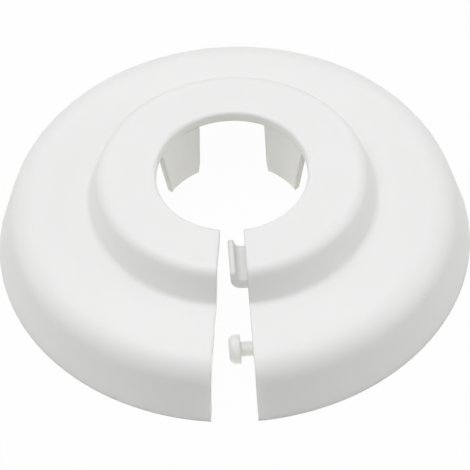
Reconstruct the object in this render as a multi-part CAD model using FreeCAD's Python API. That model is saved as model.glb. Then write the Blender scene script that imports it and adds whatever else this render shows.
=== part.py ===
import FreeCAD, Part
import math
import os

# Radiator pipe collar: a split rosette, moulded in one piece of white plastic.
# The pipe's axis is Z, the rim stands on the wall or floor at Z = 0, and the slit faces -Y.
# Lengths are in millimetres and angles in degrees.

# Turned shell
rim_diameter = 50.0
collar_height = 10.4
flange_height = 6.5
boss_diameter = 30.3
wall = 1.25
rim_draft = 17.2
boss_draft = 18.5
shoulder_radius = 3.15
boss_edge_radius = 1.3
crease_radius = 0.5
least_inner_radius = 0.5

# Bore, a little longer towards the slit than it is wide, so that the ring goes over the pipe
pipe_diameter = 15.0
bore_side_room = 0.38
bore_end_room = 0.71
bore_edge_radius = 0.35

# Grip tabs that hang round the bore and lean in to the pipe
pipe_clearance = 0.05
tab_count = 4
tab_tip_height = 3.0
tab_land = 1.5
tab_root_thickness = 0.75
tab_tip_thickness = 0.55
tab_width = 5.575
tab_side_draft = 7.1

# Slit: its faces would meet at the flex line, behind the bore, where the ring bends as it is closed
flex_line = 11.0
slit_half_angle = 3.55
slit_draft = 0.9

# Walls that close the shell's two ends, set back from the slit's faces so that they don't show
end_wall = 0.65
end_wall_inset = 0.45
end_wall_setback = 0.2
end_wall_foot = 1.0

# Hook on the right end, under the boss
hook_distance = 8.25
hook_length = 4.85
hook_end_draft = 12.0
hook_reach = 1.7
hook_arm = 0.95
lip_drop = 0.3
lip_height = 1.05
lip_thickness = 0.58
lip_lean = 12.0
lip_edge_radius = 0.25
lip_end_radius = 0.3
trough_radius = 0.6
hook_corner_radius = 1.1

# Rib on the left end, which drops into the hook's trough
rib_side_clearance = 0.15
rib_floor_clearance = 0.35

# Stud on the right end, under the flange
stud_distance = 17.9
stud_height = 3.0
neck_diameter = 1.55
head_diameter = 3.08
head_thickness = 1.22
head_edge_radius = 0.7
head_back_radius = 0.2
stud_play = 0.1

# Keyhole in the left end wall, which holds the stud's neck
seat_clearance = 0.1
throat_squeeze = 0.25
throat_mouth = 1.2

# How far a cutting shape runs past what it cuts, and how deep a root is sunk
cut_margin = 2.0
root_depth = 0.5


def tangent(degrees):
    return math.tan(math.radians(degrees))


def cosine(degrees):
    return math.cos(math.radians(degrees))


# Worked out from the values above
rim_radius = rim_diameter / 2
boss_radius = boss_diameter / 2
bore_half_width = pipe_diameter / 2 + bore_side_room
bore_half_length = pipe_diameter / 2 + bore_end_room
bore_stretch = bore_half_length - bore_half_width
grip_radius = pipe_diameter / 2 + pipe_clearance
plate_underside = collar_height - wall
lip_top = plate_underside - lip_drop
trough_floor = lip_top - lip_height
hook_bottom = trough_floor - hook_arm
lip_back = hook_reach - lip_thickness
lip_foot = lip_back - lip_height * tangent(lip_lean)
rib_back = lip_foot - rib_side_clearance
rib_bottom = trough_floor + rib_floor_clearance
neck_length = end_wall_inset + end_wall + stud_play
end_wall_back = end_wall_inset + end_wall

AXIS_ORIGIN = FreeCAD.Vector(0, 0, 0)
X_AXIS = FreeCAD.Vector(1, 0, 0)
Y_AXIS = FreeCAD.Vector(0, 1, 0)
Z_AXIS = FreeCAD.Vector(0, 0, 1)
FULL_TURN = 360
HALF_TURN = 180
QUARTER_TURN = 90


def corner_arc(before, corner, after, radius):
    """Start, middle and end of the arc that rounds a corner between two straight sides."""
    back = (before - corner).normalize()
    ahead = (after - corner).normalize()
    half_angle = back.getAngle(ahead) / 2
    inwards = (back + ahead).normalize()
    reach = radius / math.tan(half_angle)
    centre = corner + inwards * (radius / math.sin(half_angle))
    return corner + back * reach, centre - inwards * radius, corner + ahead * reach


def rounded_face(corners):
    """Face in the XZ plane through corners given as (x, z, radius), where a radius of 0 is sharp."""
    points = [FreeCAD.Vector(x, 0, z) for x, z, radius in corners]
    count = len(points)
    arcs = []
    for i, (x, z, radius) in enumerate(corners):
        if radius > 0:
            arcs.append(corner_arc(points[i - 1], points[i], points[(i + 1) % count], radius))
        else:
            arcs.append((points[i], points[i], points[i]))
    edges = []
    for i, (start, middle, end) in enumerate(arcs):
        if corners[i][2] > 0:
            edges.append(Part.Arc(start, middle, end).toShape())
        edges.append(Part.LineSegment(end, arcs[(i + 1) % count][0]).toShape())
    return Part.Face(Part.Wire(edges))


def turned(corners):
    """Solid turned about the pipe's axis from corners (radius, height, rounding)."""
    return rounded_face(corners).revolve(AXIS_ORIGIN, Z_AXIS, FULL_TURN)


def inner_radius(radius, depth):
    """Rounding of a corner seen from a depth below the outside, where a tight one is left sharp."""
    remaining = radius - depth
    return remaining if remaining >= least_inner_radius else 0


def contour(depth):
    """Shoulder, crease and boss edge of the shell's surface, at a depth below the outside."""
    flange = flange_height - depth
    top = collar_height - depth
    rim_at_depth = rim_radius - depth / cosine(rim_draft)
    boss_at_depth = boss_radius - depth / cosine(boss_draft)
    shoulder = rim_at_depth - flange * tangent(rim_draft)
    crease = boss_at_depth + depth * tangent(boss_draft)
    boss_edge = boss_at_depth - (top - flange_height) * tangent(boss_draft)
    return [
        (shoulder, flange, inner_radius(shoulder_radius, depth)),
        (crease, flange, crease_radius + depth),
        (boss_edge, top, inner_radius(boss_edge_radius, depth)),
    ]


def bore_plug():
    """Upright cutter for the bore: two half rounds, drawn apart along Y."""
    foot = plate_underside - cut_margin
    height = collar_height + cut_margin - foot
    ends = [
        Part.makeCylinder(bore_half_width, height, FreeCAD.Vector(0, side * bore_stretch, foot))
        for side in (-1, 1)
    ]
    corner = FreeCAD.Vector(-bore_half_width, -bore_stretch, foot)
    middle = Part.makeBox(2 * bore_half_width, 2 * bore_stretch, height, corner)
    return middle.fuse(ends).removeSplitter()


def stepped_shell():
    """Thin stepped dish, open below, with a hole for the pipe whose upper edge is rounded."""
    inner_rim = rim_radius - wall / cosine(rim_draft)
    outside = [(rim_radius, 0, 0)] + contour(0) + [(grip_radius, collar_height, 0)]
    inside = [(grip_radius, plate_underside, 0)] + list(reversed(contour(wall))) + [(inner_rim, 0, 0)]
    dish = turned(outside + inside).cut(bore_plug()).Solids[0]
    bore_edge = [
        edge for edge in dish.Edges
        if edge.BoundBox.ZMin > collar_height - wall / 2 and edge.BoundBox.XMax < bore_half_length
    ]
    return dish.makeFillet(bore_edge_radius, bore_edge)


def grip_skirt():
    """Ring that hangs from the plate round the bore and narrows to a land that fits the pipe."""
    root = bore_half_width + bore_stretch * cosine(FULL_TURN / tab_count / 2)
    return turned([
        (root, plate_underside, 0),
        (grip_radius, tab_tip_height + tab_land, 0),
        (grip_radius, tab_tip_height, 0),
        (grip_radius + tab_tip_thickness, tab_tip_height, 0),
        (root + tab_root_thickness, plate_underside, 0),
    ])


def grip_tabs():
    """What is left of the skirt as tabs that narrow to their tips, with the slit between two of them."""
    half_root = tab_width / 2
    half_tip = half_root - (plate_underside - tab_tip_height) * tangent(tab_side_draft)
    outline = rounded_face([
        (-half_tip, tab_tip_height, 0),
        (half_tip, tab_tip_height, 0),
        (half_root, plate_underside, 0),
        (half_root, collar_height, 0),
        (-half_root, collar_height, 0),
        (-half_root, plate_underside, 0),
    ])
    tab = grip_skirt().common(outline.extrude(-Y_AXIS * rim_radius))
    spacing = FULL_TURN / tab_count
    return [tab.rotated(AXIS_ORIGIN, Z_AXIS, (i + 0.5) * spacing) for i in range(tab_count)]


def on_right_face(shape):
    """Moves a shape to the right slit face: X into the gap, Y outwards along the face, Z up it."""
    turn = FreeCAD.Rotation(Z_AXIS, HALF_TURN + slit_half_angle) * FreeCAD.Rotation(Y_AXIS, slit_draft)
    frame = FreeCAD.Placement(FreeCAD.Vector(0, flex_line, collar_height), turn)
    return shape.transformed(frame.toMatrix())


def on_left_face(shape):
    """Moves a shape to the left slit face, as the mirror image of its place on the right one."""
    return on_right_face(shape).mirror(AXIS_ORIGIN, X_AXIS)


def along_face(distance):
    """Place along a slit face of a point at a distance from the pipe's axis."""
    return (flex_line + distance) / cosine(slit_half_angle)


def up_face(height):
    """Place up a slit face of a point at a height above the rim."""
    return height - collar_height


def face_box(gap_from, gap_to, distance_from, distance_to, height_from, height_to):
    """Box beside a slit face, in the face's own directions."""
    along = along_face(distance_from)
    up = up_face(height_from)
    size = (gap_to - gap_from, along_face(distance_to) - along, height_to - height_from)
    return Part.makeBox(*size, FreeCAD.Vector(gap_from, along, up))


def slit_wedge():
    """Wedge that the slit takes out of the ring, from the bore to past the rim."""
    outer = rim_radius + cut_margin
    half = face_box(0, outer, 0, outer, -cut_margin, collar_height + cut_margin)
    return on_right_face(half).common(on_left_face(half))


def end_slab():
    """Upright slab behind a slit face, before it is trimmed to the shell."""
    return face_box(-end_wall_back, -end_wall_inset, 0, rim_radius, 0, collar_height)


def hollow_core():
    """Ring-shaped room under the shell that an end wall fills, reaching half way into the shell's wall."""
    sunk = wall / 2
    inner = bore_half_length + end_wall_setback
    outer = rim_radius - sunk / cosine(rim_draft) - end_wall_foot * tangent(rim_draft)
    return turned(
        [(outer, end_wall_foot, 0)]
        + contour(sunk)
        + [(inner, collar_height - sunk, 0), (inner, end_wall_foot, 0)]
    )


def hook():
    """Arm with an upturned lip, whose trough takes the rib of the other end, and a leaning outer end."""
    hook_root = end_wall_inset + root_depth
    section = rounded_face([
        (-hook_root, up_face(hook_bottom), 0),
        (hook_reach, up_face(hook_bottom), hook_corner_radius),
        (hook_reach, up_face(lip_top), lip_edge_radius),
        (lip_back, up_face(lip_top), lip_edge_radius),
        (lip_foot, up_face(trough_floor), trough_radius),
        (-hook_root, up_face(trough_floor), 0),
    ])
    start = along_face(hook_distance)
    foot = start + hook_length
    lip_end = foot - (lip_top - hook_bottom) * tangent(hook_end_draft)
    side = rounded_face([
        (start, up_face(hook_bottom), 0),
        (foot, up_face(hook_bottom), 0),
        (lip_end, up_face(lip_top), lip_end_radius),
        (start, up_face(lip_top), 0),
    ])
    side.rotate(AXIS_ORIGIN, Z_AXIS, QUARTER_TURN)
    side.translate(X_AXIS * -hook_root)
    arm = section.extrude(Y_AXIS * (foot + cut_margin))
    return on_right_face(arm.common(side.extrude(X_AXIS * (hook_root + hook_reach))))


def rib():
    """Rib under the plate of the left end, which drops into the hook's trough."""
    end = hook_distance + hook_length
    slab = face_box(-rib_back, -rib_side_clearance, hook_distance, end, rib_bottom, collar_height)
    return on_left_face(slab)


def hook_room():
    """Room for the hook in the left end wall."""
    end = hook_distance + hook_length + rib_side_clearance
    return on_left_face(face_box(-end_wall_back - cut_margin, 0, 0, end, 0, collar_height))


def stud():
    """Mushroom stud that stands square on the right slit face."""
    neck = neck_diameter / 2
    head = head_diameter / 2
    front = neck_length + head_thickness
    stud_root = end_wall_inset + root_depth
    section = rounded_face([
        (-stud_root, 0, 0),
        (front, 0, 0),
        (front, head, head_edge_radius),
        (neck_length, head, head_back_radius),
        (neck_length, neck, 0),
        (-stud_root, neck, 0),
    ])
    solid = section.revolve(AXIS_ORIGIN, X_AXIS, FULL_TURN)
    solid.translate(FreeCAD.Vector(0, along_face(stud_distance), up_face(stud_height)))
    return on_right_face(solid)


def keyhole():
    """Round seat for the stud's neck with a narrower throat, flared at its mouth, open to below."""
    depth = end_wall_back + cut_margin
    seat_radius = neck_diameter / 2 + seat_clearance
    throat_half = (neck_diameter - throat_squeeze) / 2
    foot = end_wall_foot - stud_height
    mouth_half = throat_half + throat_mouth / 2
    seat = Part.makeCylinder(seat_radius, 2 * depth, FreeCAD.Vector(-depth, 0, 0), X_AXIS)
    outline = [
        (-throat_half, 0),
        (-throat_half, foot + throat_mouth / 2),
        (-mouth_half, foot),
        (-mouth_half, foot - cut_margin),
        (mouth_half, foot - cut_margin),
        (mouth_half, foot),
        (throat_half, foot + throat_mouth / 2),
        (throat_half, 0),
    ]
    points = [FreeCAD.Vector(-depth, y, z) for y, z in outline]
    throat = Part.Face(Part.makePolygon(points + points[:1])).extrude(X_AXIS * 2 * depth)
    opening = seat.fuse(throat)
    opening.translate(FreeCAD.Vector(0, along_face(stud_distance), up_face(stud_height)))
    return on_left_face(opening)


def collar():
    """The whole moulding as one solid."""
    core = hollow_core()
    right_wall = on_right_face(end_slab()).common(core)
    left_wall = on_left_face(end_slab()).common(core).cut([hook_room(), keyhole()])
    left_rib = rib().common(core)
    additions = grip_tabs() + [right_wall, left_wall, left_rib, hook(), stud()]
    ring = stepped_shell().cut(slit_wedge())
    return ring.fuse(additions).removeSplitter()


os.makedirs("parts", exist_ok=True)
collar().exportStep("parts/collar.step")
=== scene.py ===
import math

import bpy
from mathutils import Matrix, Vector

# Looks of the radiator pipe collar: its plastic, the white table it lies on, the light and the camera.
# Lengths are in metres unless a name says millimetres, and angles are in degrees.
MM = 0.001

# Camera, which looks down on the slit through a long lens
PHOTO_SIDE_PX = 470
FOCAL_LENGTH_PX = 2872.9
SENSOR_MM = 36.0
CAMERA_DISTANCE = 0.3009
CAMERA_AZIMUTH = 1.7
CAMERA_ELEVATION = 48.56
CAMERA_ROLL = -2.38
CAMERA_AIM = Vector((0.16, -3.17, 3.75)) * MM

# Plastic
PLASTIC_WHITE = "EEEEEE"
PLASTIC_IOR = 1.49
GLOW_SHARE = 0.65
GLOW_DEPTH_MM = (1.2, 1.15, 1.1)

# Flow marks in the plastic
FLOW_MARK_WHITE = "ECECEC"
FLOW_MARK_MM = 9.0
FLOW_MARK_DETAIL = 3.0
FLOW_MARK_ROUGHNESS = 0.45
FLOW_MARK_DISTORTION = 0.8

# Patches of more and less polish
POLISHED_ROUGHNESS = 0.42
DULL_ROUGHNESS = 0.52
POLISH_PATCH_MM = 2.5
POLISH_PATCH_DETAIL = 2.0

# Grain of the mould, coarser than the real one so that it shows
MOULD_GRAIN_MM = 0.3
MOULD_GRAIN_HEIGHT_MM = 0.003
MOULD_GRAIN_DETAIL = 2.0
MOULD_GRAIN_ROUGHNESS = 0.6

# Rounding of the edges, which fades towards the foot
EDGE_RADIUS_MM = 0.3
FOOT_EDGE_RADIUS_MM = 0.04
FOOT_HEIGHT_MM = 0.5
EDGE_SAMPLES = 8

# Table, and how far it and the lamps on it lie below the foot
TABLE_WHITE = "D7D7D4"
TABLE_SEEN = "FFFFFF"
TABLE_GLOW = 0.97
TABLE_SIDE = 3.0
TABLE_DROP = 0.02 * MM
TABLE_LAMP_DROP = 0.01 * MM

# Room
ROOM_WHITE = "FFFFFF"
ROOM_STRENGTH = 0.148

# Softboxes: azimuth from the slit, elevation and watts
SOFTBOX_DISTANCE = 0.6
SOFTBOX_SIDE = 0.4
SOFTBOXES = {
    "softbox_above": (0, 88, 1.18),
    "softbox_left_high": (-90, 65, 0.88),
    "softbox_left_low": (-90, 20, 0.64),
    "softbox_right_high": (90, 45, 0.50),
    "softbox_right_low": (90, 20, 0.62),
    "softbox_behind": (180, 50, 0.41),
    "softbox_front": (0, 30, 0.24),
}

# Flat lamps on the table: shape, distance from the axis towards the slit, width, length and watts
TABLE_LAMP_WHITE = "FFFEF1"
TABLE_LAMPS = {
    "table_lamp_hollow": ("DISK", 0, 44 * MM, 44 * MM, 0.00142),
    "table_lamp_rim": ("DISK", 0, 53 * MM, 53 * MM, 0.00065),
    "table_lamp_slit": ("RECTANGLE", 16.5 * MM, 3 * MM, 17 * MM, 0.00013),
}


def linear(colour):
    """Linear red, green, blue and alpha of an sRGB hex colour."""
    levels = [int(colour[i:i + 2], 16) / 255 for i in (0, 2, 4)]
    return [v / 12.92 if v <= 0.04045 else ((v + 0.055) / 1.055) ** 2.4 for v in levels] + [1.0]


def add_node(tree, kind, inputs=None, links=None, **settings):
    """Adds a node with its settings, the values of its sockets and the outputs that feed them."""
    node = tree.nodes.new(kind)
    for name, value in settings.items():
        setattr(node, name, value)
    for socket, value in (inputs or {}).items():
        node.inputs[socket].default_value = value
    for socket, output in (links or {}).items():
        tree.links.new(output, node.inputs[socket])
    return node


def new_material(name):
    """Material with an empty node tree."""
    material = bpy.data.materials.new(name)
    material.use_nodes = True
    material.node_tree.nodes.clear()
    return material


def seen_directly(tree):
    """One for rays that show a surface, in gloss or glass too, and nought for rays that only light."""
    path = add_node(tree, "ShaderNodeLightPath")
    shown = add_node(
        tree, "ShaderNodeMath", operation="MAXIMUM",
        links={0: path.outputs["Is Camera Ray"], 1: path.outputs["Is Glossy Ray"]})
    shown_or_through = add_node(
        tree, "ShaderNodeMath", operation="MAXIMUM",
        links={0: shown.outputs[0], 1: path.outputs["Is Transmission Ray"]})
    return shown_or_through.outputs[0]


def moulded_polypropylene():
    """White polypropylene from a finely eroded mould: satin, with faint flow marks and a soft glow."""
    material = new_material("moulded_polypropylene_white")
    tree = material.node_tree
    place = add_node(tree, "ShaderNodeTexCoord").outputs["Object"]
    # Flow marks, where the melt ran round the bore
    flow = add_node(
        tree, "ShaderNodeTexNoise", links={"Vector": place},
        inputs={
            "Scale": 1 / (FLOW_MARK_MM * MM),
            "Detail": FLOW_MARK_DETAIL,
            "Roughness": FLOW_MARK_ROUGHNESS,
            "Distortion": FLOW_MARK_DISTORTION,
        })
    colour = add_node(
        tree, "ShaderNodeMix", data_type="RGBA",
        inputs={6: linear(PLASTIC_WHITE), 7: linear(FLOW_MARK_WHITE)}, links={0: flow.outputs["Fac"]})
    # Patches where the mould was a little more polished
    patches = add_node(
        tree, "ShaderNodeTexNoise", links={"Vector": place},
        inputs={"Scale": 1 / (POLISH_PATCH_MM * MM), "Detail": POLISH_PATCH_DETAIL})
    roughness = add_node(
        tree, "ShaderNodeMapRange", links={"Value": patches.outputs["Fac"]},
        inputs={"To Min": POLISHED_ROUGHNESS, "To Max": DULL_ROUGHNESS})
    # Edges rounded as far as a mould's corners are, and nearly sharp at the foot, where the mould parts
    height = add_node(tree, "ShaderNodeSeparateXYZ", links={"Vector": place})
    rounding = add_node(
        tree, "ShaderNodeMapRange", links={"Value": height.outputs["Z"]},
        inputs={
            "From Max": FOOT_HEIGHT_MM * MM,
            "To Min": FOOT_EDGE_RADIUS_MM * MM,
            "To Max": EDGE_RADIUS_MM * MM,
        })
    edges = add_node(
        tree, "ShaderNodeBevel", samples=EDGE_SAMPLES, links={"Radius": rounding.outputs["Result"]})
    # The mould's eroded grain
    grain = add_node(
        tree, "ShaderNodeTexNoise", links={"Vector": place},
        inputs={
            "Scale": 1 / (MOULD_GRAIN_MM * MM),
            "Detail": MOULD_GRAIN_DETAIL,
            "Roughness": MOULD_GRAIN_ROUGHNESS,
        })
    relief = add_node(
        tree, "ShaderNodeBump", inputs={"Strength": 1.0, "Distance": MOULD_GRAIN_HEIGHT_MM * MM},
        links={"Height": grain.outputs["Fac"], "Normal": edges.outputs["Normal"]})
    plastic = add_node(
        tree, "ShaderNodeBsdfPrincipled",
        inputs={
            "IOR": PLASTIC_IOR,
            "Subsurface Weight": GLOW_SHARE,
            "Subsurface Radius": GLOW_DEPTH_MM,
            "Subsurface Scale": MM,
        },
        links={
            "Base Color": colour.outputs[2],
            "Roughness": roughness.outputs["Result"],
            "Normal": relief.outputs["Normal"],
        })
    add_node(tree, "ShaderNodeOutputMaterial", links={"Surface": plastic.outputs["BSDF"]})
    return material


def table_paper():
    """Matt white paper, which shows as plain white with a faint shadow."""
    material = new_material("matt_white_paper")
    tree = material.node_tree
    paper = add_node(tree, "ShaderNodeBsdfDiffuse", inputs={"Color": linear(TABLE_WHITE)})
    white = add_node(tree, "ShaderNodeEmission", inputs={"Color": linear(TABLE_SEEN), "Strength": 1.0})
    share = add_node(
        tree, "ShaderNodeMath", operation="MULTIPLY",
        inputs={1: TABLE_GLOW}, links={0: seen_directly(tree)})
    mixed = add_node(
        tree, "ShaderNodeMixShader",
        links={0: share.outputs[0], 1: paper.outputs["BSDF"], 2: white.outputs["Emission"]})
    add_node(tree, "ShaderNodeOutputMaterial", links={"Surface": mixed.outputs["Shader"]})
    return material


def dress(node, material):
    """Gives a CAD node its material, in every slot."""
    for slot in node.material_slots:
        slot.material = material


def lay_table():
    """White table under the rim, a hair below it so that the two faces don't flicker."""
    bpy.ops.object.select_all(action="DESELECT")
    bpy.ops.mesh.primitive_plane_add(size=TABLE_SIDE, location=(0, 0, -TABLE_DROP))
    table = bpy.context.object
    table.name = "table"
    table.data.materials.append(table_paper())


def light_room():
    """White room: an even fill light, which shows as plain white."""
    world = bpy.data.worlds.new("white_room")
    world.use_nodes = True
    tree = world.node_tree
    tree.nodes.clear()
    strength = add_node(
        tree, "ShaderNodeMapRange", links={"Value": seen_directly(tree)},
        inputs={"To Min": ROOM_STRENGTH, "To Max": 1.0})
    room = add_node(
        tree, "ShaderNodeBackground", inputs={"Color": linear(ROOM_WHITE)},
        links={"Strength": strength.outputs["Result"]})
    add_node(tree, "ShaderNodeOutputWorld", links={"Surface": room.outputs["Background"]})
    bpy.context.scene.world = world


def turned_to(azimuth, elevation, roll=0.0):
    """Rotation of a camera or lamp that faces the collar, by azimuth from the slit and elevation."""
    return (
        Matrix.Rotation(math.radians(azimuth), 4, "Z")
        @ Matrix.Rotation(math.radians(90 - elevation), 4, "X")
        @ Matrix.Rotation(math.radians(roll), 4, "Z")
    )


def hang_softbox(name, azimuth, elevation, watts):
    """Square lamp that faces the collar."""
    bpy.ops.object.light_add(type="AREA")
    lamp = bpy.context.object
    lamp.name = name
    lamp.data.shape = "SQUARE"
    lamp.data.size = SOFTBOX_SIDE
    lamp.data.energy = watts
    turn = turned_to(azimuth, elevation)
    lamp.matrix_world = Matrix.Translation(turn.col[2].xyz * SOFTBOX_DISTANCE) @ turn


def lay_table_lamp(name, shape, distance, width, length, watts):
    """Flat lamp on the table that shines up at the collar, as white paper lit from all round does."""
    bpy.ops.object.light_add(
        type="AREA", location=(0, -distance, -TABLE_LAMP_DROP), rotation=(math.pi, 0, 0))
    lamp = bpy.context.object
    lamp.name = name
    lamp.data.shape = shape
    lamp.data.size = width
    lamp.data.size_y = length
    lamp.data.energy = watts
    lamp.data.color = linear(TABLE_LAMP_WHITE)[:3]


def set_camera():
    """Camera at the photo's angle, with its slight roll."""
    bpy.ops.object.camera_add()
    camera = bpy.context.object
    camera.name = "camera"
    camera.data.sensor_width = SENSOR_MM
    camera.data.lens = SENSOR_MM * FOCAL_LENGTH_PX / PHOTO_SIDE_PX
    turn = turned_to(CAMERA_AZIMUTH, CAMERA_ELEVATION, CAMERA_ROLL)
    camera.matrix_world = Matrix.Translation(CAMERA_AIM + turn.col[2].xyz * CAMERA_DISTANCE) @ turn
    bpy.context.scene.camera = camera


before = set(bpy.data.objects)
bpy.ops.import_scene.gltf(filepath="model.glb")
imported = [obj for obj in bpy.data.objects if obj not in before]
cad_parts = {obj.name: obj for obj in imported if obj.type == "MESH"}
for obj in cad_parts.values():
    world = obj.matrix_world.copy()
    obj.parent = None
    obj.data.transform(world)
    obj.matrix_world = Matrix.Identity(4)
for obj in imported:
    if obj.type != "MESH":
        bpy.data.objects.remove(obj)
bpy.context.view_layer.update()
bpy.context.scene.view_settings.view_transform = "Standard"
dress(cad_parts["collar"], moulded_polypropylene())
lay_table()
light_room()
for softbox, settings in SOFTBOXES.items():
    hang_softbox(softbox, *settings)
for lamp, settings in TABLE_LAMPS.items():
    lay_table_lamp(lamp, *settings)
set_camera()
